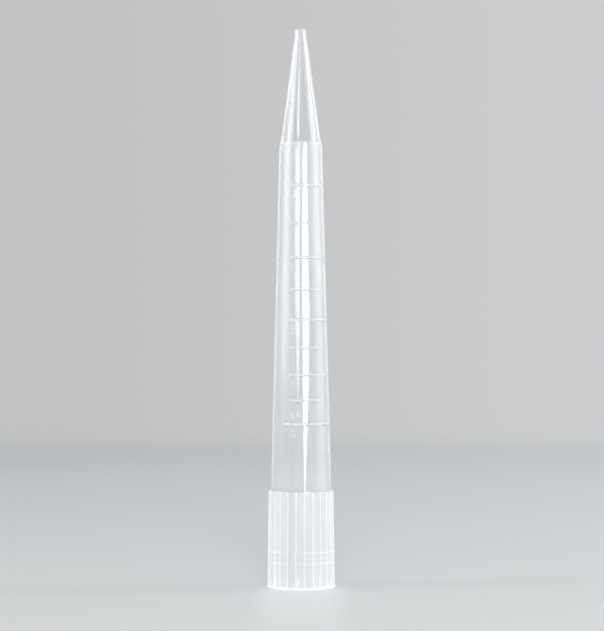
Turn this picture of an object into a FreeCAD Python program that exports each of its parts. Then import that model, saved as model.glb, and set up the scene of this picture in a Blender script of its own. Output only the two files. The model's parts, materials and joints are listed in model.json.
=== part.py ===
# Pipette tip for 5 mL: one clear polypropylene moulding, in millimetres.
# Its axis is Z. It stands on its collar's rim at Z = 0, with the orifice at the top.
import FreeCAD, Part
import os
import Sketcher

SHEET = "Dimensions"

DIMENSIONS = {
    # outside, from the rim up to the orifice
    "tip_length": 120.0,
    "rim_r": 7.42,
    "rim_height": 0.62,
    "rim_slope": 0.18,
    "collar_foot_r": 7.28,
    "collar_top_r": 6.98,
    "collar_height": 20.7,
    "barrel_foot_r": 6.56,
    "barrel_top_r": 4.62,
    "shoulder_height": 95.3,
    "cone_foot_r": 4.27,
    "cone_foot_height": 96.1,
    "orifice_land_r": 1.22,
    "orifice_land_height": 119.1,
    # inside, from the mouth up to the orifice
    "mouth_r": 6.62,
    "mouth_chamfer": 0.35,
    "socket_foot_r": 6.43,
    "socket_top_r": 6.33,
    "seat_foot_height": 5.7,
    "seat_r": 6.15,
    "seat_length": 2.1,
    "step_height": 0.25,
    "shank_foot_r": 6.08,
    "bore_foot_r": 6.0,
    "bore_top_r": 4.11,
    "bore_top_height": 94.9,
    "cone_bore_r": 3.72,
    "cone_bore_height": 96.0,
    "orifice_r": 0.62,
    # eased edges
    "rim_round": 0.3,
    "collar_chamfer": 0.12,
    "shoulder_round": 0.25,
    "orifice_chamfer": 0.1,
    # flutes cut round the collar up to its top, which leave narrow ribs between them
    "flute_count": 24,
    "flute_angle": 10.4,
    "flute_phase": 13.5,
    "flute_depth": 0.34,
    "flute_foot_height": 0.8,
    # graduation lines, raised on the barrel
    "five_ml_height": 35.1,
    "ml_volume": 1000.0,
    "line_relief": 0.12,
    "line_root": 0.2,
    "whole_line_width": 0.55,
    "half_line_width": 0.36,
    "whole_line_centre": -66.5,
    "whole_line_sweep": 97.0,
    "half_line_centre": -79.0,
    "half_line_sweep": 72.0,
    "last_line_centre": -72.0,
    "last_line_sweep": 108.0,
}

WHOLE_ML = [1, 2, 3, 4]
HALF_ML = [1.5, 2.5, 3.5, 4.5]
LAST_ML = [5]
CLEARANCE = 1.0  # how far a cutting section reaches past the skin that it cuts


def cell(name):
    """Expression that reads one cell of the sheet."""
    return f"{SHEET}.{name}"


def along(height, foot_r, top_r, foot_height, top_height):
    """Expression for a straight taper's radius at a height."""
    rise = f"(({height}) - {cell(foot_height)}) / ({cell(top_height)} - {cell(foot_height)})"
    return f"({cell(foot_r)} + ({cell(top_r)} - {cell(foot_r)}) * {rise})"


def barrel_radius(height):
    return along(height, "barrel_foot_r", "barrel_top_r", "collar_height", "shoulder_height")


def bore_radius(height):
    return along(height, "bore_foot_r", "bore_top_r", "collar_height", "bore_top_height")


def collar_radius(height):
    return along(height, "collar_foot_r", "collar_top_r", "rim_height", "collar_height")


def line_height(volume_ml):
    """Height of the level at which the upturned tip holds this volume.

    The bore is a cone there, so the cube of its radius falls evenly with the volume
    between a level and the 5 mL line.
    """
    taper = (f"(({cell('bore_foot_r')} - {cell('bore_top_r')})"
             f" / ({cell('bore_top_height')} - {cell('collar_height')}))")
    last_r = bore_radius(cell("five_ml_height"))
    volume = f"({LAST_ML[0] - volume_ml} * {cell('ml_volume')})"
    level_r = f"(({last_r} ^ 3 - 3 * {taper} * {volume} / pi) ^ (1 / 3))"
    return f"({cell('five_ml_height')} + ({last_r} - {level_r}) / {taper})"


def add_sheet(doc):
    sheet = doc.addObject("Spreadsheet::Sheet", SHEET)
    for row, (name, value) in enumerate(DIMENSIONS.items(), start=1):
        sheet.set(f"A{row}", name)
        sheet.set(f"B{row}", str(value))
        sheet.setAlias(f"B{row}", name)
    doc.recompute()


def origin_feature(body, role):
    """One of the body's own planes or axes, such as XZ_Plane or Z_Axis."""
    return next(item for item in body.Origin.OriginFeatures if item.Role == role)


def add_section(body, name, outlines, turn=None):
    """Sketch of closed straight-sided outlines, in the half plane of radius and height.

    Each corner is a pair of expressions, and each is bound to the sheet. turn names the
    cell with the half plane's angle round the axis.
    """
    sketch = body.newObject("Sketcher::SketchObject", name)
    sketch.AttachmentSupport = [(origin_feature(body, "XZ_Plane"), "")]
    sketch.MapMode = "FlatFace"
    if turn:
        swing = FreeCAD.Rotation(FreeCAD.Vector(0, 1, 0), DIMENSIONS[turn])
        sketch.AttachmentOffset = FreeCAD.Placement(FreeCAD.Vector(), swing)
        sketch.setExpression("AttachmentOffset.Rotation.Angle", cell(turn))
    for outline in outlines:
        corners = [FreeCAD.Vector(sketch.evalExpression(radius), sketch.evalExpression(height), 0)
                   for radius, height in outline]
        first = sketch.GeometryCount
        count = len(corners)
        for index, corner in enumerate(corners):
            sketch.addGeometry(Part.LineSegment(corner, corners[(index + 1) % count]))
        for index in range(count):
            sketch.addConstraint(Sketcher.Constraint(
                "Coincident", first + index, 2, first + (index + 1) % count, 1))
        for index, (radius, height) in enumerate(outline):
            bind_corner(sketch, "DistanceX", first + index, corners[index].x, radius)
            bind_corner(sketch, "DistanceY", first + index, corners[index].y, height)
    return sketch


def bind_corner(sketch, kind, line, value, expression):
    """Hold the start of a line at a distance from the origin, or on an axis where it is zero."""
    if value == 0:
        sketch.addConstraint(Sketcher.Constraint("PointOnObject", line, 1, -1))
        return
    index = sketch.addConstraint(Sketcher.Constraint(kind, -1, 1, line, 1, value))
    sketch.setExpression(f"Constraints[{index}]", expression)


def spin(body, kind, name, section, sweep=None):
    """Revolution or Groove of a section about the tip's axis, centred on the section."""
    feature = body.newObject(f"PartDesign::{kind}", name)
    feature.Profile = section
    feature.ReferenceAxis = (section, ["V_Axis"])
    feature.Angle = 360.0
    if sweep:
        feature.Midplane = True
        feature.setExpression("Angle", cell(sweep))
    section.Visibility = False
    return feature


def circles_at(shape, radius, height):
    """Names of the circular edges at this radius and height."""
    names = []
    for number, edge in enumerate(shape.Edges, start=1):
        curve = edge.Curve
        if not isinstance(curve, Part.Circle):
            continue
        if abs(curve.Radius - radius) < 1e-4 and abs(curve.Center.z - height) < 1e-4:
            names.append(f"Edge{number}")
    return names


def ease_edge(body, kind, size_cell, radius_cell, height_cell=None):
    """Fillet or Chamfer of the one full circular edge at this radius and height, or height 0."""
    base = body.Tip
    height = DIMENSIONS[height_cell] if height_cell else 0.0
    edges = circles_at(base.Shape, DIMENSIONS[radius_cell], height)
    if len(edges) != 1:
        raise RuntimeError(f"{size_cell}: {len(edges)} edges found in place of one")
    eased = body.newObject(f"PartDesign::{kind}", size_cell.title().replace("_", ""))
    eased.Base = (base, edges)
    size = "Radius" if kind == "Fillet" else "Size"
    setattr(eased, size, DIMENSIONS[size_cell])
    eased.setExpression(size, cell(size_cell))
    body.Document.recompute()


def add_wall(body):
    """The whole wall, spun from its half section, with its outer edges eased."""
    outside = [
        (cell("rim_r"), "0"),
        (cell("rim_r"), f"{cell('rim_height')} - {cell('rim_slope')}"),
        (cell("collar_foot_r"), cell("rim_height")),
        (cell("collar_top_r"), cell("collar_height")),
        (cell("barrel_foot_r"), cell("collar_height")),
        (cell("barrel_top_r"), cell("shoulder_height")),
        (cell("cone_foot_r"), cell("cone_foot_height")),
        (cell("orifice_land_r"), cell("orifice_land_height")),
        (cell("orifice_land_r"), cell("tip_length")),
    ]
    seat_top = f"{cell('seat_foot_height')} + {cell('seat_length')}"
    inside = [
        (cell("orifice_r"), cell("tip_length")),
        (cell("orifice_r"), cell("orifice_land_height")),
        (cell("cone_bore_r"), cell("cone_bore_height")),
        (cell("bore_top_r"), cell("bore_top_height")),
        (cell("bore_foot_r"), cell("collar_height")),
        (cell("shank_foot_r"), f"{seat_top} + {cell('step_height')}"),
        (cell("seat_r"), seat_top),
        (cell("seat_r"), cell("seat_foot_height")),
        (cell("socket_top_r"), f"{cell('seat_foot_height')} - {cell('step_height')}"),
        (cell("socket_foot_r"), cell("mouth_chamfer")),
        (cell("mouth_r"), "0"),
    ]
    section = add_section(body, "WallSection", [outside + inside])
    spin(body, "Revolution", "Wall", section)
    body.Document.recompute()
    ease_edge(body, "Fillet", "rim_round", "rim_r")
    ease_edge(body, "Chamfer", "collar_chamfer", "collar_top_r", "collar_height")
    ease_edge(body, "Fillet", "shoulder_round", "barrel_top_r", "shoulder_height")
    ease_edge(body, "Chamfer", "orifice_chamfer", "orifice_land_r", "tip_length")


def add_flutes(body):
    """One flute cut in the collar from above its rim to its top, then repeated round."""
    foot = cell("flute_foot_height")
    top = f"({cell('collar_height')} + {CLEARANCE})"
    depth = cell("flute_depth")
    outer = f"{cell('rim_r')} + {CLEARANCE}"
    outline = [
        (f"{collar_radius(foot)} - {depth}", foot),
        (outer, foot),
        (outer, top),
        (f"{collar_radius(top)} - {depth}", top),
    ]
    section = add_section(body, "FluteSection", [outline], turn="flute_phase")
    flute = spin(body, "Groove", "Flute", section, sweep="flute_angle")
    body.Document.recompute()
    ring = body.newObject("PartDesign::PolarPattern", "Flutes")
    ring.Originals = [flute]
    ring.Axis = (origin_feature(body, "Z_Axis"), [""])
    ring.Angle = 360.0
    ring.setExpression("Occurrences", cell("flute_count"))
    body.Tip = ring
    body.Document.recompute()


def line_outline(volume_ml, width_cell):
    """Section of one raised graduation line, rooted inside the wall."""
    centre = line_height(volume_ml)
    low = f"({centre} - {cell(width_cell)} / 2)"
    high = f"({centre} + {cell(width_cell)} / 2)"
    root = cell("line_root")
    relief = cell("line_relief")
    return [
        (f"{barrel_radius(low)} - {root}", low),
        (f"{barrel_radius(low)} + {relief}", low),
        (f"{barrel_radius(high)} + {relief}", high),
        (f"{barrel_radius(high)} - {root}", high),
    ]


def add_lines(body, name, volumes_ml, width_cell, centre_cell, sweep_cell):
    """Graduation lines of one kind, each a band that runs part of the way round."""
    outlines = [line_outline(volume, width_cell) for volume in volumes_ml]
    section = add_section(body, f"{name}Section", outlines, turn=centre_cell)
    spin(body, "Revolution", name, section, sweep=sweep_cell)
    body.Document.recompute()


def build_tip(doc):
    body = doc.addObject("PartDesign::Body", "PipetteTip")
    body.Label = "pipette_tip"
    add_wall(body)
    plain_volume = body.Shape.Volume
    add_flutes(body)
    fluted_volume = body.Shape.Volume
    add_lines(body, "WholeLines", WHOLE_ML, "whole_line_width", "whole_line_centre", "whole_line_sweep")
    add_lines(body, "HalfLines", HALF_ML, "half_line_width", "half_line_centre", "half_line_sweep")
    add_lines(body, "LastLine", LAST_ML, "whole_line_width", "last_line_centre", "last_line_sweep")
    if not body.Shape.Volume > fluted_volume < plain_volume:
        raise RuntimeError("the flutes or the graduation lines left the wall unchanged")
    body.Placement = FreeCAD.Placement()
    return body


def check(doc, bodies):
    """Stop before writing if anything failed to build."""
    for item in doc.Objects:
        if "Invalid" in item.State or "Error" in item.State:
            raise RuntimeError(f"{item.Name} failed: {item.State}")
    for body in bodies:
        if body.Shape.isNull() or not body.Shape.isValid() or len(body.Shape.Solids) != 1:
            raise RuntimeError(f"{body.Label} isn't one valid solid")


def main():
    doc = FreeCAD.newDocument("PipetteTip")
    add_sheet(doc)
    bodies = [build_tip(doc)]
    doc.recompute()
    check(doc, bodies)
    os.makedirs("parts", exist_ok=True)
    for body in bodies:
        body.Shape.exportStep(f"parts/{body.Label}.step")
        box = body.Shape.optimalBoundingBox()
        print(f"{body.Label}: {body.Shape.Volume:.1f} mm3,"
              f" {box.XLength:.3f} x {box.YLength:.3f} x {box.ZLength:.3f} mm")


main()
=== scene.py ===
import json
import math

import bmesh
import bpy
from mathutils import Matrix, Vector


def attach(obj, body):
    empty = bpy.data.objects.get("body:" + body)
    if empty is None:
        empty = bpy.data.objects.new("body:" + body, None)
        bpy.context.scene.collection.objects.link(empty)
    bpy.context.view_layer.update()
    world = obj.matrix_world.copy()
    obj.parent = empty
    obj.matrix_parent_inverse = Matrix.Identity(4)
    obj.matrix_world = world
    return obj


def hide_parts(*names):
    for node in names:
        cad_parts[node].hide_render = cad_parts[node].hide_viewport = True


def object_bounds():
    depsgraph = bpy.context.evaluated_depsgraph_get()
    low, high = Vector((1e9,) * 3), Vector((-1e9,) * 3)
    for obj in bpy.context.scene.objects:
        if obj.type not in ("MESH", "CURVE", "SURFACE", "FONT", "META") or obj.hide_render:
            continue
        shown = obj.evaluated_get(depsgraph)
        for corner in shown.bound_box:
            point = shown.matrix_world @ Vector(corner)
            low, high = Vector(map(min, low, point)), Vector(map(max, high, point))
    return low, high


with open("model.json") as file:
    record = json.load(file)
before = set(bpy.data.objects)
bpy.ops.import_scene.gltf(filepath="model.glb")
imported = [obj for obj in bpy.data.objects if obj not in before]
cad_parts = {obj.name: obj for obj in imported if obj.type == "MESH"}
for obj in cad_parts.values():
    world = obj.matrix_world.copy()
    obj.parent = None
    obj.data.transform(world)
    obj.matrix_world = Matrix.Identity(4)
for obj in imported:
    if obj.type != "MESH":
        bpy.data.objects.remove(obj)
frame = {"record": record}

CAD_LOW, CAD_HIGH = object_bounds()
NODE = "pipette_tip"
MM = 0.001

# Sizes are in millimetres, and Z runs from the rim to the orifice. Angles are in degrees from
# the front (-Y) towards +X.
LENGTH = (CAD_HIGH.z - CAD_LOW.z) / MM

# Outside
RIM_R = 7.42
RIM_HEIGHT, RIM_SLOPE = 0.62, 0.18
COLLAR_FOOT_R, COLLAR_TOP_R, COLLAR_HEIGHT = 7.28, 6.98, 20.7
COLLAR_ROUND = 0.12
BARREL_FOOT_R, BARREL_TOP_R, SHOULDER_HEIGHT = 6.56, 4.62, 95.3
CONE_FOOT_R, CONE_FOOT_HEIGHT = 4.27, 96.1
LAND_R, LAND_HEIGHT = 1.22, 119.1

# Inside
ORIFICE_R = 0.62
CONE_BORE_R, CONE_BORE_HEIGHT = 3.72, 96.0
BORE_FOOT_R, BORE_TOP_R, BORE_TOP_HEIGHT = 6.0, 4.11, 94.9
SHANK_FOOT_R, STEP_HEIGHT = 6.08, 0.25
SOCKET_TOP_R, SOCKET_FOOT_R = 6.33, 6.43
MOUTH_R, MOUTH_CHAMFER = 6.62, 0.35

SEAT = next(m for m in frame["record"]["mounts"] if m["name"] == "nozzle_seat")
SEAT_R = SEAT["dims"]["r_mm"]
SEAT_LENGTH = SEAT["dims"]["length_mm"]
SEAT_FOOT = SEAT["pos_m"][2] / MM - SEAT_LENGTH / 2
SEAT_STEPS = (SEAT_FOOT - STEP_HEIGHT / 2, SEAT_FOOT + SEAT_LENGTH + STEP_HEIGHT / 2)

# Flutes round the collar, and the narrow ribs that they leave
FLUTE_COUNT, FLUTE_DEPTH = 24, 0.34
FLUTE_PITCH = 360.0 / FLUTE_COUNT
FLUTE_FOOT, FLUTE_FOOT_EDGE = 0.8, 0.08
RIB_PHASE = 6.0                    # angle of the first rib
RIB_CREST, RIB_FOOT = 0.10, 0.28   # half widths

# Graduation lines
FIVE_ML_HEIGHT = 35.1
STEP_VOLUME = 500.0                # cubic millimetres between two lines
LINE_COUNT = 9
LINE_RELIEF, LINE_EDGE = 0.12, 0.07
WHOLE_WIDTH, HALF_WIDTH = 0.55, 0.36
LINE_LEFT, LAST_LEFT = -25.0, -36.0
WHOLE_RIGHT, HALF_RIGHT = 72.0, 47.0
LINE_END_OUT, LINE_END_IN = 0.6, 0.8   # how far a line's ends fade, outwards and inwards

# Numerals and "mL". They are upside down while the orifice points up.
NUMERAL_TALL, UNIT_TALL = 1.55, 1.35
NUMERAL_GAP = 1.3                  # from the line above it down to a numeral
UNIT_HEIGHT = FIVE_ML_HEIGHT + 1.85
NUMERAL_ANGLE, M_ANGLE, L_ANGLE = -16.8, -2.0, -20.8
NUMERAL_RELIEF = 0.08
STROKE_HALF, STROKE_EDGE = 0.11, 0.06
MARK_HALF_WIDTH = 0.62             # share of its height
MARK_MARGIN = 0.1

# How far from a plain wall a point may lie and still belong to it
WALL_REACH = 0.2


def taper(height, foot_r, top_r, foot_height, top_height):
    return foot_r + (top_r - foot_r) * (height - foot_height) / (top_height - foot_height)


def barrel_radius(height):
    return taper(height, BARREL_FOOT_R, BARREL_TOP_R, COLLAR_HEIGHT, SHOULDER_HEIGHT)


def bore_radius(height):
    return taper(height, BORE_FOOT_R, BORE_TOP_R, COLLAR_HEIGHT, BORE_TOP_HEIGHT)


def cone_bore_radius(height):
    return taper(height, CONE_BORE_R, ORIFICE_R, CONE_BORE_HEIGHT, LENGTH)


def smooth(low, high, value):
    t = min(1.0, max(0.0, (value - low) / (high - low)))
    return t * t * (3 - 2 * t)


def place(radius, angle, height):
    """Point at a radius, an angle and a height, in metres."""
    a = math.radians(angle)
    return Vector((radius * math.sin(a), -radius * math.cos(a), height)) * MM


def angle_of(point):
    """Angle of a point's place round the tip."""
    return math.degrees(math.atan2(point.x, -point.y))


# ---- graduations ---------------------------------------------------------------------------

def line_height(steps):
    """Height of the line this many half-millilitre steps above the 5 mL line."""
    slope = (BORE_FOOT_R - BORE_TOP_R) / (BORE_TOP_HEIGHT - COLLAR_HEIGHT)
    last_r = bore_radius(FIVE_ML_HEIGHT)
    level_r = (last_r ** 3 - 3 * slope * steps * STEP_VOLUME / math.pi) ** (1 / 3)
    return FIVE_ML_HEIGHT + (last_r - level_r) / slope


def graduation_lines():
    """(height, width, left end, right end) of each line, from the 5 mL line up."""
    lines = []
    for steps in range(LINE_COUNT):
        whole = steps % 2 == 0
        lines.append((
            line_height(steps),
            WHOLE_WIDTH if whole else HALF_WIDTH,
            LAST_LEFT if steps == 0 else LINE_LEFT,
            WHOLE_RIGHT if whole else HALF_RIGHT,
        ))
    return lines


def graduation_marks():
    """(glyph, angle of its centre, height of its centre, how tall it is) of each mark."""
    marks = []
    for ml in range(1, 6):
        height = line_height(2 * (5 - ml)) - NUMERAL_GAP - NUMERAL_TALL / 2
        marks.append((str(ml), NUMERAL_ANGLE, height, NUMERAL_TALL))
    marks.append(("m", M_ANGLE, UNIT_HEIGHT, UNIT_TALL))
    marks.append(("L", L_ANGLE, UNIT_HEIGHT, UNIT_TALL))
    return marks


LINES = graduation_lines()
MARKS = graduation_marks()


def arc_stroke(cx, cy, rx, ry, start, end, count=10):
    """Points of an elliptical arc between two angles in degrees."""
    step = (end - start) / count
    angles = [math.radians(start + step * i) for i in range(count + 1)]
    return [(cx + rx * math.cos(a), cy + ry * math.sin(a)) for a in angles]


# Strokes in a box 1 high, x to the reader's right and y up
GLYPHS = {
    "1": [[(-0.16, 0.30), (0.04, 0.5), (0.04, -0.5)]],
    "2": [arc_stroke(0, 0.22, 0.30, 0.28, 160, -40) + [(-0.32, -0.5), (0.34, -0.5)]],
    "3": [arc_stroke(-0.02, 0.25, 0.28, 0.25, 150, -90),
          arc_stroke(-0.02, -0.24, 0.33, 0.26, 90, -150)],
    "4": [[(0.14, -0.5), (0.14, 0.5), (-0.34, -0.2), (0.36, -0.2)]],
    "5": [[(0.30, 0.5), (-0.24, 0.5), (-0.27, 0.06)]
          + arc_stroke(0, -0.17, 0.31, 0.33, 125, -145)],
    "m": [[(-0.5, -0.5), (-0.5, 0.2)],
          [(-0.5, 0.0)] + arc_stroke(-0.26, 0.0, 0.24, 0.2, 180, 0) + [(-0.02, -0.5)],
          [(-0.02, 0.0)] + arc_stroke(0.22, 0.0, 0.24, 0.2, 180, 0) + [(0.46, -0.5)]],
    "L": [[(-0.32, 0.5), (-0.32, -0.5), (0.34, -0.5)]],
}


def stroke_distance(x, y, strokes):
    """How far a point is from the nearest stroke."""
    best = math.inf
    for stroke in strokes:
        for (ax, ay), (bx, by) in zip(stroke, stroke[1:]):
            dx, dy = bx - ax, by - ay
            t = ((x - ax) * dx + (y - ay) * dy) / (dx * dx + dy * dy)
            t = min(1.0, max(0.0, t))
            best = min(best, math.hypot(x - ax - dx * t, y - ay - dy * t))
    return best


def mark_at(angle, height):
    """The mark whose box holds this place, or None."""
    for mark in MARKS:
        _, centre, middle, tall = mark
        across = abs(math.radians(angle - centre) * barrel_radius(middle))
        along = abs(height - middle)
        if (across < MARK_HALF_WIDTH * tall + MARK_MARGIN
                and along < 0.5 * tall + STROKE_HALF + MARK_MARGIN):
            return mark
    return None


# ---- relief of the outside -----------------------------------------------------------------

def relief(angle, height, radius):
    """How far the outside stands proud of its plain profile, or is cut below it."""
    if radius > BARREL_FOOT_R:
        return (flute_radius(height, radius) - radius) * flute_share(angle, height)
    if height > SHOULDER_HEIGHT:
        return 0.0
    for middle, width, left, right in LINES:
        off = abs(height - middle)
        if off < width / 2 + LINE_EDGE:
            across = 1 - smooth(width / 2 - LINE_EDGE, width / 2 + LINE_EDGE * 0.5, off)
            start = smooth(left - LINE_END_OUT, left + LINE_END_IN, angle)
            end = 1 - smooth(right - LINE_END_IN, right + LINE_END_OUT, angle)
            return LINE_RELIEF * across * (start * end)
    mark = mark_at(angle, height)
    return mark_relief(angle, height, mark) if mark else 0.0


def mark_relief(angle, height, mark):
    glyph, centre, middle, tall = mark
    # both axes turn round, because the mark is upside down
    x = -math.radians(angle - centre) * barrel_radius(middle) / tall
    y = -(height - middle) / tall
    gap = stroke_distance(x, y, GLYPHS[glyph]) * tall
    return NUMERAL_RELIEF * (1 - smooth(STROKE_HALF - STROKE_EDGE, STROKE_HALF + STROKE_EDGE, gap))


def flute_share(angle, height):
    """0 on a rib or the rim, and 1 on a flute's floor."""
    off = (angle - RIB_PHASE + FLUTE_PITCH / 2) % FLUTE_PITCH - FLUTE_PITCH / 2
    across = abs(math.radians(off)) * COLLAR_FOOT_R
    above_foot = smooth(FLUTE_FOOT - FLUTE_FOOT_EDGE, FLUTE_FOOT + FLUTE_FOOT_EDGE, height)
    return smooth(RIB_CREST, RIB_FOOT, across) * above_foot


def flute_radius(height, radius):
    """A flute's floor: down the collar's side, and on the ledge that it runs out on."""
    ledge = COLLAR_TOP_R - COLLAR_ROUND
    if radius > ledge:
        collar = taper(height, COLLAR_FOOT_R, COLLAR_TOP_R, RIM_HEIGHT, COLLAR_HEIGHT)
        return collar - FLUTE_DEPTH
    return taper(radius, BARREL_FOOT_R, COLLAR_TOP_R - FLUTE_DEPTH, BARREL_FOOT_R, ledge)


# ---- the moulding's mesh -------------------------------------------------------------------

# Corners of the half section: radius, height and rounding
OUTSIDE = [
    (MOUTH_R, 0.0, 0.08), (RIM_R, 0.0, 0.3), (RIM_R, RIM_HEIGHT - RIM_SLOPE, 0.1),
    (COLLAR_FOOT_R, RIM_HEIGHT, 0.06), (COLLAR_TOP_R, COLLAR_HEIGHT, COLLAR_ROUND),
    (BARREL_FOOT_R, COLLAR_HEIGHT, 0.14), (BARREL_TOP_R, SHOULDER_HEIGHT, 0.3),
    (CONE_FOOT_R, CONE_FOOT_HEIGHT, 0.3), (LAND_R, LAND_HEIGHT, 1.0), (LAND_R, LENGTH, 0.14),
]
INSIDE = [
    (ORIFICE_R, LENGTH, 0.08), (ORIFICE_R, LAND_HEIGHT, 0.8),
    (CONE_BORE_R, CONE_BORE_HEIGHT, 0.6), (BORE_TOP_R, BORE_TOP_HEIGHT, 0.6),
    (BORE_FOOT_R, COLLAR_HEIGHT, 1.0), (SHANK_FOOT_R, SEAT_FOOT + SEAT_LENGTH + STEP_HEIGHT, 0.12),
    (SEAT_R, SEAT_FOOT + SEAT_LENGTH, 0.1), (SEAT_R, SEAT_FOOT, 0.1),
    (SOCKET_TOP_R, SEAT_FOOT - STEP_HEIGHT, 0.12), (SOCKET_FOOT_R, MOUTH_CHAMFER, 0.2),
]
SLIGHT_TURN, MODEST_TURN = 0.06, 0.5   # radians, below which a corner takes 1 face, or 2
MOST_OF_SIDE = 0.45                    # share of a side that a corner's rounding may take

RUN_STEP = 2.6         # most between two rows of a plain wall
TIGHTEST = 0.03        # least between two rows
EVEN_CLEARANCE = 0.25  # least between an even row and one that follows a form
# Rows that follow a form, as distances up from it: the collar's top, the flutes' foot, a step
# of the seat, and outwards from the side of a line
ROOT_ROWS = (0.3, 0.7, 1.2)
FLUTE_FOOT_ROWS = (-0.08, -0.04, 0.0, 0.04, 0.08)
SEAT_STEP_ROWS = (-0.22, -0.1, 0.1, 0.22)
LINE_SIDE_ROWS = (-LINE_EDGE, -0.02, LINE_EDGE / 2, 0.12)
# Even rows over a mark, a little beyond its height, and the cuts that refine its faces
MARK_ROW_EXTRA, MARK_ROW_STEP, MARK_CUTS = 0.5, 0.2, 2
# Rows that keep the shading of the two bores straight
INNER_HEIGHTS = [CONE_BORE_HEIGHT + 0.5, BORE_TOP_HEIGHT - 0.5]
# Columns, in degrees either side of a rib's middle
COLUMN_OFFSETS = [0, 0.8, 1.25, 1.7, 2.3, 4.7]


def corner_arc(before, corner, after):
    """Points that round one corner of the half section."""
    here = Vector(corner[:2])
    back = Vector(before[:2]) - here
    forth = Vector(after[:2]) - here
    turn = math.pi - back.angle(forth)
    reach = min(corner[2] * math.tan(turn / 2),
                back.length * MOST_OF_SIDE, forth.length * MOST_OF_SIDE)
    start, end = here + back.normalized() * reach, here + forth.normalized() * reach
    count = 1 if turn < SLIGHT_TURN else 2 if turn < MODEST_TURN else 4
    points = []
    for i in range(count + 1):
        t = i / count
        points.append(start * (1 - t) ** 2 + here * 2 * t * (1 - t) + end * t ** 2)
    return points


def outer_heights():
    """Heights at which the outside needs a row of its own."""
    heights = [COLLAR_HEIGHT + off for off in ROOT_ROWS]
    heights += [FLUTE_FOOT + off for off in FLUTE_FOOT_ROWS]
    heights += [step + off for step in SEAT_STEPS for off in SEAT_STEP_ROWS]
    for middle, width, *_ in LINES:
        for side in (-1, 1):
            heights += [middle + side * (width / 2 + off) for off in LINE_SIDE_ROWS]
    for glyph, _, middle, tall in MARKS:
        if glyph != "L":   # it shares the rows of the "m"
            span = tall + MARK_ROW_EXTRA
            count = round(span / MARK_ROW_STEP)
            heights += [middle + (i / count - 0.5) * span for i in range(count + 1)]
    return sorted(heights)


def section_stations():
    """(radius, height, is outside) down the whole closed half section."""
    corners = OUTSIDE + INSIDE
    count = len(corners)
    arcs = [corner_arc(corners[i - 1], corners[i], corners[(i + 1) % count])
            for i in range(count)]
    outer_rows = outer_heights()
    stations = []
    for index, arc in enumerate(arcs):
        outer = index < len(OUTSIDE)
        wanted = outer_rows if outer else INNER_HEIGHTS
        stations += [(point.x, point.y, outer) for point in arc]
        stations += run_stations(arc[-1], arcs[(index + 1) % count][0], wanted, outer)
    return stations


def run_stations(start, end, wanted, outer):
    """Stations between two corners, at even steps and at the wanted heights."""
    span = end.y - start.y
    if abs(span) < RUN_STEP:
        return []
    count = math.ceil(abs(span) / RUN_STEP)
    low, high = sorted((start.y, end.y))
    needed = [h for h in wanted if low + TIGHTEST < h < high - TIGHTEST]
    even = [start.y + span * i / count for i in range(1, count)]
    heights = []
    for height in sorted(needed):
        if not heights or height - heights[-1] > TIGHTEST:
            heights.append(height)
    heights += [h for h in even if all(abs(h - n) > EVEN_CLEARANCE for n in needed)]
    heights.sort(reverse=span < 0)
    return [(start.x + (end.x - start.x) * (h - start.y) / span, h, outer) for h in heights]


def column_angles():
    """Angles of the columns, closer together on the ribs' flanks."""
    angles = []
    for rib in range(FLUTE_COUNT):
        middle = RIB_PHASE + rib * FLUTE_PITCH
        offsets = {side * off for off in COLUMN_OFFSETS for side in (-1, 1)} | {FLUTE_PITCH / 2}
        angles += [(middle + off + 180) % 360 - 180 for off in sorted(offsets)]
    return sorted(angles)


def make_moulding():
    """The whole tip as one closed mesh."""
    stations = section_stations()
    angles = column_angles()
    columns, rows = len(angles), len(stations)
    verts = []
    for radius, height, outer in stations:
        for angle in angles:
            proud = relief(angle, height, radius) if outer else 0.0
            verts.append(place(radius + proud, angle, height))
    faces = []
    for row in range(rows):
        following = (row + 1) % rows
        for column in range(columns):
            beside = (column + 1) % columns
            faces.append((row * columns + column, row * columns + beside,
                          following * columns + beside, following * columns + column))
    mesh = bpy.data.meshes.new("tip_moulding")
    mesh.from_pydata(verts, [], faces)
    refine_marks(mesh)
    mesh.shade_smooth()
    return mesh


def refine_marks(mesh):
    """Finer faces under the numerals and the unit, set to their relief."""
    bm = bmesh.new()
    bm.from_mesh(mesh)
    chosen = set()
    for face in bm.faces:
        centre = face.calc_center_median() / MM
        if not COLLAR_HEIGHT < centre.z < SHOULDER_HEIGHT:
            continue
        if math.hypot(centre.x, centre.y) < barrel_radius(centre.z) - WALL_REACH:
            continue
        if mark_at(angle_of(centre), centre.z):
            chosen.update(face.edges)
    plain = len(bm.verts)
    bmesh.ops.subdivide_edges(bm, edges=list(chosen), cuts=MARK_CUTS, use_grid_fill=True)
    bm.verts.ensure_lookup_table()
    for vert in bm.verts[plain:]:
        angle, height = angle_of(vert.co), vert.co.z / MM
        radius = barrel_radius(height)
        vert.co = place(radius + relief(angle, height, radius), angle, height)
    bmesh.ops.recalc_face_normals(bm, faces=bm.faces)
    bm.to_mesh(mesh)
    bm.free()


# ---- nodes ---------------------------------------------------------------------------------

BLUE_SHARE = 0.8   # a grey's tint is taken off its red, and this share of it added to its blue


def socket(node, name, value):
    node.inputs[name].default_value = value


def add_node(tree, kind, **settings):
    node = tree.nodes.new(kind)
    for name, value in settings.items():
        setattr(node, name, value)
    return node


def above(tree, value, limit):
    """1 where the value is more than the limit, and 0 elsewhere."""
    node = add_node(tree, "ShaderNodeMath", operation="GREATER_THAN")
    socket(node, 1, limit)
    tree.links.new(value, node.inputs[0])
    return node.outputs[0]


def absolute(tree, value):
    node = add_node(tree, "ShaderNodeMath", operation="ABSOLUTE")
    tree.links.new(value, node.inputs[0])
    return node.outputs[0]


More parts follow.
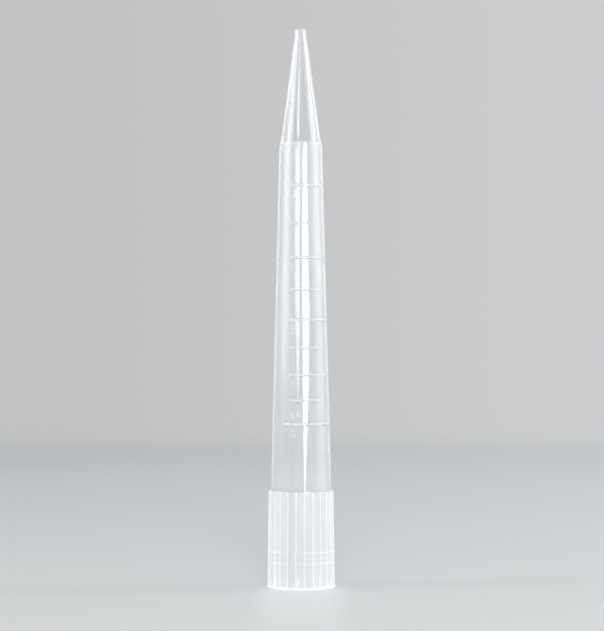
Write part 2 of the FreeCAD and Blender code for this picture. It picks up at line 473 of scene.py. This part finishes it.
def times(tree, first, second):
    product = add_node(tree, "ShaderNodeMath", operation="MULTIPLY")
    tree.links.new(first, product.inputs[0])
    tree.links.new(second, product.inputs[1])
    return product.outputs[0]


def remap(tree, value, source, target, kind="SMOOTHSTEP"):
    """Take the source range to the target range, and hold its ends beyond them."""
    node = add_node(tree, "ShaderNodeMapRange", interpolation_type=kind)
    socket(node, "From Min", source[0])
    socket(node, "From Max", source[1])
    socket(node, "To Min", target[0])
    socket(node, "To Max", target[1])
    tree.links.new(value, node.inputs["Value"])
    return node.outputs[0]


def noise(tree, scale, detail):
    """Noise with this many features a metre along X, Y and Z."""
    where = add_node(tree, "ShaderNodeTexCoord")
    stretch = add_node(tree, "ShaderNodeVectorMath", operation="MULTIPLY")
    socket(stretch, 1, scale)
    tree.links.new(where.outputs["Object"], stretch.inputs[0])
    texture = add_node(tree, "ShaderNodeTexNoise")
    socket(texture, "Scale", 1.0)
    socket(texture, "Detail", detail)
    tree.links.new(stretch.outputs[0], texture.inputs["Vector"])
    return texture.outputs["Fac"]


def grey_ramp(tree, stops):
    """Colour ramp through (place, grey level, blue tint) stops. The first two are its ends."""
    ramp = add_node(tree, "ShaderNodeValToRGB")
    ramp.color_ramp.interpolation = "EASE"
    elements = ramp.color_ramp.elements
    for index, (where, grey, tint) in enumerate(stops):
        element = elements[index] if index < 2 else elements.new(where)
        element.position = where
        element.color = (grey * (1 - tint), grey, grey * (1 + BLUE_SHARE * tint), 1)
    return ramp


# ---- polypropylene -------------------------------------------------------------------------

# Colour of the clearest wall and the two that mottle a milky one, and how milky each of them is
CLEAR_COLOUR = (0.952, 0.957, 0.966, 1)
MILKY_COLOURS = ((0.925, 0.948, 0.986, 1), (0.945, 0.962, 0.984, 1))
COLOUR_MILK = (0.05, 0.4)
# Faint lines along the draw, and a mottle in colour and polish: features a metre, and detail
STREAKS, MOTTLE = ((420, 420, 22), 1.0), ((260, 260, 200), 4.0)
NOISE_RANGE = (0.3, 0.7)
STREAK_DEPTH, STREAK_MILK = 0.003, (0.95, 1.05)
POLISHED, FROSTED = 0.03, 0.4      # roughness
MOTTLE_ROUGHNESS = (0.8, 1.2)

# Milk is the share of light that a wall scatters instead of letting it through. Part of it is
# painted light, set below
CONE_MILK, CONE_BORE_MILK = 0.19, 0.08
BARREL_MILK, BORE_MILK = 0.42, 0.095
RIB_MILK, SOCKET_MILK = 0.88, 0.70
# What marks and lines add to the barrel's milk, and the painted light on the barrel's root: paler
# over its lowest 8 mm, standing in for light just above the collar
MARK_MILK, LINE_MILK, PAINTED_ROOT_MILK = 0.08, 0.1, 0.11
# What, as painted light, the sides, the rim and the seat's steps add to the collar's milk, and
# what a flute takes away. The paler sides stand in for light from the sides, the paler rim for its
# bead catching light, and the paler lines at the seat's steps for how those steps catch light
PAINTED_SIDE_MILK, PAINTED_RIM_MILK, PAINTED_SEAT_STEP_MILK = 0.08, 0.2, 0.12
FLUTE_CLEARNESS, FLUTE_UNEVEN = 0.18, 0.06
MARK_FROST, COLLAR_FROST = 0.6, 0.04
# How far a mark and a line stand proud where their finish comes in
MARK_PROUD, LINE_PROUD = (0.0, 0.06), (0.085, 0.11)
# Heights over which the root's and the rim's milk go, and how far a seat step's milk reaches
ROOT_FADE, RIM_FADE = (COLLAR_HEIGHT + 0.2, COLLAR_HEIGHT + 8), (0.12, 0.4)
SEAT_STEP_FADE = (0.1, 0.22)


def clear_polypropylene():
    mat = bpy.data.materials.new("clear_polypropylene")
    mat.use_nodes = True
    tree = mat.node_tree
    links = tree.links
    shader = tree.nodes["Principled BSDF"]
    socket(shader, "IOR", 1.49)
    socket(shader, "Sheen Weight", 0.3)
    socket(shader, "Sheen Roughness", 0.3)
    milk_and_light = add_node(tree, "ShaderNodeAttribute", attribute_name="milk_and_light").outputs["Fac"]
    frost = add_node(tree, "ShaderNodeAttribute", attribute_name="frost").outputs["Fac"]
    streaks = noise(tree, *STREAKS)
    mottle = noise(tree, *MOTTLE)
    links.new(milky_colour(tree, milk_and_light, mottle), shader.inputs["Base Color"])
    cloud = times(tree, milk_and_light, remap(tree, streaks, NOISE_RANGE, STREAK_MILK, "LINEAR"))
    clear = remap(tree, cloud, (0, 1), (1, 0), "LINEAR")
    links.new(clear, shader.inputs["Transmission Weight"])
    polish = remap(tree, mottle, NOISE_RANGE, MOTTLE_ROUGHNESS, "LINEAR")
    rough = remap(tree, frost, (0, 1), (POLISHED, FROSTED), "LINEAR")
    links.new(times(tree, rough, polish), shader.inputs["Roughness"])
    bump = add_node(tree, "ShaderNodeBump")
    socket(bump, "Distance", STREAK_DEPTH * MM)
    links.new(streaks, bump.inputs["Height"])
    links.new(bump.outputs[0], shader.inputs["Normal"])
    return mat


def milky_colour(tree, milk_and_light, mottle):
    """Nearly neutral where the wall is clear, and bluer and mottled where it is milky."""
    tone = add_node(tree, "ShaderNodeValToRGB")
    for element, position, colour in zip(tone.color_ramp.elements, NOISE_RANGE, MILKY_COLOURS):
        element.position = position
        element.color = colour
    tree.links.new(mottle, tone.inputs[0])
    tint = add_node(tree, "ShaderNodeMix", data_type="RGBA")
    socket(tint, "A", CLEAR_COLOUR)
    share = remap(tree, milk_and_light, COLOUR_MILK, (0, 1), "LINEAR")
    tree.links.new(share, tint.inputs["Factor"])
    tree.links.new(tone.outputs[0], tint.inputs["B"])
    return tint.outputs["Result"]


def finish_at(angle, radius, height):
    """How milky and how frosted the surface is there, with painted light added to the milk at the
    barrel's root and on the collar.
    """
    if height < COLLAR_HEIGHT:
        return collar_finish(angle, radius, height)
    if height > SHOULDER_HEIGHT:
        outer = radius > cone_bore_radius(height) + WALL_REACH
        return (CONE_MILK if outer else CONE_BORE_MILK), 0.0
    if radius < bore_radius(height) + WALL_REACH:
        return BORE_MILK, 0.0
    proud = radius - barrel_radius(height)
    mark = smooth(*MARK_PROUD, proud)
    line = smooth(*LINE_PROUD, proud)
    # painted light: the barrel's root is milkier, so paler, just above the collar
    root = 1 - smooth(*ROOT_FADE, height)
    return BARREL_MILK + MARK_MILK * mark + LINE_MILK * line + PAINTED_ROOT_MILK * root, MARK_FROST * mark


def collar_finish(angle, radius, height):
    """Ribs milkier than flutes; and as painted light, paler sides, a paler rim and paler lines
    where the seat's steps show through.
    """
    if radius < (SOCKET_FOOT_R + COLLAR_TOP_R - FLUTE_DEPTH) / 2:
        return SOCKET_MILK, COLLAR_FROST
    a = math.radians(angle)
    uneven = 0.5 + 0.5 * math.sin(5 * a) * math.cos(2 * a + math.radians(40))
    at_rim = 1 - smooth(*RIM_FADE, height)
    at_step = 1 - smooth(*SEAT_STEP_FADE, min(abs(height - step) for step in SEAT_STEPS))
    # painted light: milkier, so paler, towards the sides at +X and -X, standing in for light from
    # the sides
    milk_and_light = RIB_MILK + PAINTED_SIDE_MILK * math.sin(a) ** 2
    milk_and_light -= (FLUTE_CLEARNESS - FLUTE_UNEVEN * uneven) * flute_share(angle, height)
    # painted light: paler lines at the seat's steps, and a paler rim standing in for its bead
    # catching light
    milk_and_light += PAINTED_SEAT_STEP_MILK * uneven * at_step + PAINTED_RIM_MILK * at_rim
    return min(1.0, milk_and_light), COLLAR_FROST


def paint(mesh):
    """Give the mesh the two point attributes that the material reads."""
    milk_and_light = mesh.attributes.new("milk_and_light", "FLOAT", "POINT")
    frost = mesh.attributes.new("frost", "FLOAT", "POINT")
    for vert in mesh.vertices:
        radius = math.hypot(vert.co.x, vert.co.y) / MM
        milk_and_light_there, frosted = finish_at(angle_of(vert.co), radius, vert.co.z / MM)
        milk_and_light.data[vert.index].value = milk_and_light_there
        frost.data[vert.index].value = frosted


def make_tip():
    tip = bpy.data.objects.new("tip_moulding", make_moulding())
    bpy.context.scene.collection.objects.link(tip)
    paint(tip.data)
    tip.data.materials.append(clear_polypropylene())
    weighted = tip.modifiers.new("even_shading", "WEIGHTED_NORMAL")
    weighted.keep_sharp = True
    weighted.weight = 60
    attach(tip, "root")
    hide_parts(NODE)


# ---- backdrop and floor, in metres ---------------------------------------------------------

# Soft surround on what scatters light: its level in front and behind, the shares of that at the
# sides and overhead, and the span of sines of elevation over which it falls to the last
FRONT_LIGHT, BACK_LIGHT = 1.30, 1.05
SIDE_LIGHT, HIGH_LIGHT = 1.4, 0.5
HIGH_FALL = (0.05, 0.75)
# (place, grey level, blue tint) stops. A place is a share of the backdrop's foot, a span of
# sines of elevation, or of the floor's span along Y.
BACKDROP_GREYS = [(0.0, 0.562, 0.03), (1.0, 0.572, 0.012)]
BACKDROP_FOOT = (-0.063, -0.03)
FLOOR_GREYS = [
    (0.0, 0.70, 0.02), (1.0, 0.65, 0.03),
    (0.13, 0.684, 0.022), (0.25, 0.67, 0.03), (0.41, 0.655, 0.03),
]
FLOOR_R, FLOOR_FADE = 0.7, 0.4     # the fade starts at this share of the radius
FLOOR_SPAN = (-0.1, 0.7)
# Both are paler towards +X: the X range, and the shares of the grey at its ends
BACKDROP_SLANT = (-0.12, 0.12), (0.935, 1.065)
FLOOR_SLANT = (-0.2, 0.2), (0.925, 1.125)
# Painted light: a paler band in the floor's colour before the rim, standing in for light that the
# plastic gathers onto the floor. Where it fades across, ahead and under the tip, and its strength
BAND_SIDE, BAND_AHEAD, BAND_RIM = (0.005, 0.0115), (-0.09, -0.007), (-0.004, 0.004)
BAND_STRENGTH = 1.15


def make_world():
    """Grey backdrop, and a soft surround that only lights what scatters light."""
    world = bpy.data.worlds.new("studio")
    bpy.context.scene.world = world
    world.use_nodes = True
    tree = world.node_tree
    links = tree.links
    tree.nodes.clear()
    out = add_node(tree, "ShaderNodeOutputWorld")
    seen = add_node(tree, "ShaderNodeBackground")
    unseen = add_node(tree, "ShaderNodeBackground")
    mix = add_node(tree, "ShaderNodeMixShader")
    path = add_node(tree, "ShaderNodeLightPath")
    direction = add_node(tree, "ShaderNodeTexCoord")
    split = add_node(tree, "ShaderNodeSeparateXYZ")
    links.new(direction.outputs["Generated"], split.inputs[0])
    ramp = grey_ramp(tree, BACKDROP_GREYS)
    links.new(remap(tree, split.outputs["Z"], BACKDROP_FOOT, (0, 1), "LINEAR"), ramp.inputs[0])
    links.new(ramp.outputs[0], seen.inputs["Color"])
    links.new(remap(tree, split.outputs["X"], *BACKDROP_SLANT, "LINEAR"), seen.inputs["Strength"])
    front = remap(tree, split.outputs["Y"], (-1, 1), (FRONT_LIGHT, BACK_LIGHT), "LINEAR")
    low = remap(tree, split.outputs["Z"], HIGH_FALL, (1, HIGH_LIGHT))
    aside = times(tree, split.outputs["X"], split.outputs["X"])
    wide = remap(tree, aside, (0, 1), (1, SIDE_LIGHT), "LINEAR")
    links.new(times(tree, times(tree, front, low), wide), unseen.inputs["Strength"])
    socket(unseen, "Color", (1, 1, 1, 1))
    links.new(above(tree, path.outputs["Diffuse Depth"], 0.5), mix.inputs[0])
    links.new(seen.outputs[0], mix.inputs[1])
    links.new(unseen.outputs[0], mix.inputs[2])
    links.new(mix.outputs[0], out.inputs[0])


def make_floor():
    """Pale matte floor that fades into the backdrop at its far edge, with a band of painted light
    before the rim.
    """
    bpy.ops.mesh.primitive_circle_add(vertices=128, radius=FLOOR_R, fill_type="TRIFAN")
    floor = bpy.context.object
    floor.name = "floor"
    mat = bpy.data.materials.new("floor")
    mat.use_nodes = True
    tree = mat.node_tree
    links = tree.links
    shader = tree.nodes["Principled BSDF"]
    socket(shader, "Roughness", 1.0)
    socket(shader, "Specular IOR Level", 0.0)
    where = add_node(tree, "ShaderNodeTexCoord")
    split = add_node(tree, "ShaderNodeSeparateXYZ")
    links.new(where.outputs["Object"], split.inputs[0])
    ramp = grey_ramp(tree, FLOOR_GREYS)
    links.new(remap(tree, split.outputs["Y"], FLOOR_SPAN, (0, 1), "LINEAR"), ramp.inputs[0])
    slanted = add_node(tree, "ShaderNodeVectorMath", operation="SCALE")
    links.new(ramp.outputs[0], slanted.inputs[0])
    slant = remap(tree, split.outputs["X"], *FLOOR_SLANT, "LINEAR")
    # painted light: the floor's colour is paler in a band before the rim
    links.new(times(tree, slant, gathered_light(tree, split)), slanted.inputs["Scale"])
    links.new(slanted.outputs[0], shader.inputs["Base Color"])
    radius = add_node(tree, "ShaderNodeVectorMath", operation="LENGTH")
    links.new(where.outputs["Object"], radius.inputs[0])
    edge = remap(tree, radius.outputs["Value"], (FLOOR_FADE * FLOOR_R, FLOOR_R), (1, 0))
    links.new(edge, shader.inputs["Alpha"])
    floor.data.materials.append(mat)


def gathered_light(tree, split):
    """Painted light: a paler band in the floor's colour before the rim, standing in for light that
    the plastic gathers onto the floor.
    """
    across = remap(tree, absolute(tree, split.outputs["X"]), BAND_SIDE, (1, 0))
    ahead = remap(tree, split.outputs["Y"], BAND_AHEAD, (0, 1), "LINEAR")
    rim = remap(tree, split.outputs["Y"], BAND_RIM, (1, 0))
    band = times(tree, across, times(tree, ahead, rim))
    return remap(tree, band, (0, 1), (1, BAND_STRENGTH), "LINEAR")


# ---- lamps and cards, in metres ------------------------------------------------------------

TIP_MIDDLE = Vector((0, 0, LENGTH / 2 * MM))   # what the lamps face
# Softbox in front, and the smaller one to its left: height, and the angles that it spans there
SOFTBOX = (
    (0.013, 12.5, 16), (0.030, 10, 22), (0.050, 8, 29.5), (0.079, 6, 36),
    (0.094, 5, 34.5), (0.109, 6.5, 34), (0.145, 13, 31),
)
LEFT_SOFTBOX = (
    (0.050, -15, -9), (0.070, -19.5, -5.5), (0.094, -27, -3.5), (0.125, -27, -3),
    (0.153, -26, -3),
)


def around(azimuth, distance, height):
    """Place at an angle from the front towards +X."""
    a = math.radians(azimuth)
    return Vector((distance * math.sin(a), -distance * math.cos(a), height))


def lamp(name, position, width, power):
    """Soft lamp that lights what scatters light. The cards stand for it in reflections."""
    data = bpy.data.lights.new(name, "AREA")
    data.shape = "RECTANGLE"
    data.size = data.size_y = width
    data.energy = power
    light = bpy.data.objects.new(name, data)
    bpy.context.scene.collection.objects.link(light)
    light.location = position
    facing = TIP_MIDDLE - Vector(position)
    light.rotation_euler = facing.to_track_quat("-Z", "Y").to_euler()
    light.visible_camera = False
    light.visible_glossy = False
    light.visible_transmission = False


def panel(name, azimuth, distance, width, low, high, levels, soft):
    """Straight card from one height to another. soft: shares that fade at sides, foot and top."""
    w = width / 2
    piece = card_mesh(name, azimuth, distance, [(-w, low), (w, low), (w, high), (-w, high)])
    card_glow(piece, levels, (1, 1, 1), soft)


def lozenge(name, azimuth, distance, rows, level, colour):
    """Sharp-edged card whose rows give its height and the angles of its two edges."""
    corners = [(math.radians(start - azimuth) * distance, z) for z, start, _ in rows]
    corners += [(math.radians(end - azimuth) * distance, z) for z, _, end in reversed(rows)]
    piece = card_mesh(name, azimuth, distance, corners)
    card_glow(piece, (level, level), colour)


def card_mesh(name, azimuth, distance, corners):
    """Upright flat polygon that faces the tip. corners: (way towards higher azimuths, height)."""
    mesh = bpy.data.meshes.new(name)
    mesh.from_pydata([(x, 0, z) for x, z in corners], [], [tuple(range(len(corners)))])
    piece = bpy.data.objects.new(name, mesh)
    bpy.context.scene.collection.objects.link(piece)
    piece.location = around(azimuth, distance, 0)
    piece.rotation_euler = (0, 0, math.radians(azimuth))
    piece.visible_camera = False
    piece.visible_diffuse = False
    piece.visible_shadow = False
    return piece


def card_glow(piece, levels, colour, soft=None):
    """Light that only reflections see. levels: at the card's foot and at its top."""
    mat = bpy.data.materials.new(piece.name)
    mat.use_nodes = True
    mat.cycles.emission_sampling = "NONE"
    tree = mat.node_tree
    links = tree.links
    tree.nodes.clear()
    out = add_node(tree, "ShaderNodeOutputMaterial")
    both = add_node(tree, "ShaderNodeAddShader")
    glow = add_node(tree, "ShaderNodeEmission")
    clear = add_node(tree, "ShaderNodeBsdfTransparent")
    where = add_node(tree, "ShaderNodeTexCoord")
    split = add_node(tree, "ShaderNodeSeparateXYZ")
    links.new(where.outputs["Generated"], split.inputs[0])
    level = remap(tree, split.outputs["Z"], (0, 1), levels, "LINEAR")
    path = add_node(tree, "ShaderNodeLightPath")
    strength = times(tree, level, above(tree, path.outputs["Glossy Depth"], 0.5))
    if soft:
        strength = times(tree, strength, card_fade(tree, split, *soft))
    links.new(strength, glow.inputs["Strength"])
    socket(glow, "Color", (*colour, 1))
    links.new(clear.outputs[0], both.inputs[0])
    links.new(glow.outputs[0], both.inputs[1])
    links.new(both.outputs[0], out.inputs[0])
    piece.data.materials.append(mat)


def card_fade(tree, split, soft_side, soft_foot, soft_top):
    """1 in a card's middle, and down to 0 over these shares at its sides, foot and top."""
    across = remap(tree, split.outputs["X"], (0, 1), (-1, 1), "LINEAR")
    side = remap(tree, absolute(tree, across), (1 - soft_side, 1), (1, 0))
    foot = remap(tree, split.outputs["Z"], (0, soft_foot), (0, 1))
    top = remap(tree, split.outputs["Z"], (1 - soft_top, 1), (1, 0))
    return times(tree, side, times(tree, foot, top))


def make_lights():
    lamp("key_lamp", (0.036, -1.17, 0.762), 0.45, 4.6)
    # two low lamps, for the faint shadows either side of the rim
    lamp("left_lamp", around(-80, 0.6, 0.24), 0.12, 0.45)
    lamp("right_lamp", around(97, 0.6, 0.24), 0.12, 0.45)
    lozenge("softbox", 20.5, 0.30, SOFTBOX, 15.0, (1.0, 0.985, 0.97))
    lozenge("left_softbox", -17, 0.30, LEFT_SOFTBOX, 3.2, (1.0, 0.97, 0.965))
    panel("left_panel", -77, 0.35, 0.48, 0.04, 0.44, (2.2, 7.0), (1.0, 0.08, 0.2))
    panel("right_panel", 89, 0.35, 0.50, 0.0, 0.42, (1.7, 7.0), (1.0, 0.02, 0.2))
    panel("left_high_panel", -120, 0.35, 0.12, 0.165, 0.34, (1.8, 1.6), (0.5, 0.25, 0.2))
    panel("left_front_panel", -53, 0.35, 0.09, 0.19, 0.36, (1.6, 1.6), (0.8, 0.25, 0.2))
    panel("left_rim_panel", -148, 0.35, 0.24, 0.0, 0.40, (0.3, 1.4), (0.6, 0.01, 0.2))
    panel("right_rim_panel", 148, 0.35, 0.24, 0.0, 0.40, (0.3, 1.4), (0.6, 0.01, 0.2))


def make_camera():
    """Camera at the photograph's angle, tilted up and rolled very slightly."""
    data = bpy.data.cameras.new("camera")
    data.lens = 111.35
    data.sensor_width = 36.0
    camera = bpy.data.objects.new("camera", data)
    bpy.context.scene.collection.objects.link(camera)
    camera.location = (0.00022, -0.42, 0.0527)
    pitch, roll = math.radians(0.765), math.radians(0.065)
    camera.rotation_euler = (math.pi / 2 + pitch, roll, 0)
    bpy.context.scene.camera = camera


def main():
    bpy.context.scene.view_settings.view_transform = "Standard"
    make_tip()
    make_world()
    make_floor()
    make_lights()
    make_camera()


main()
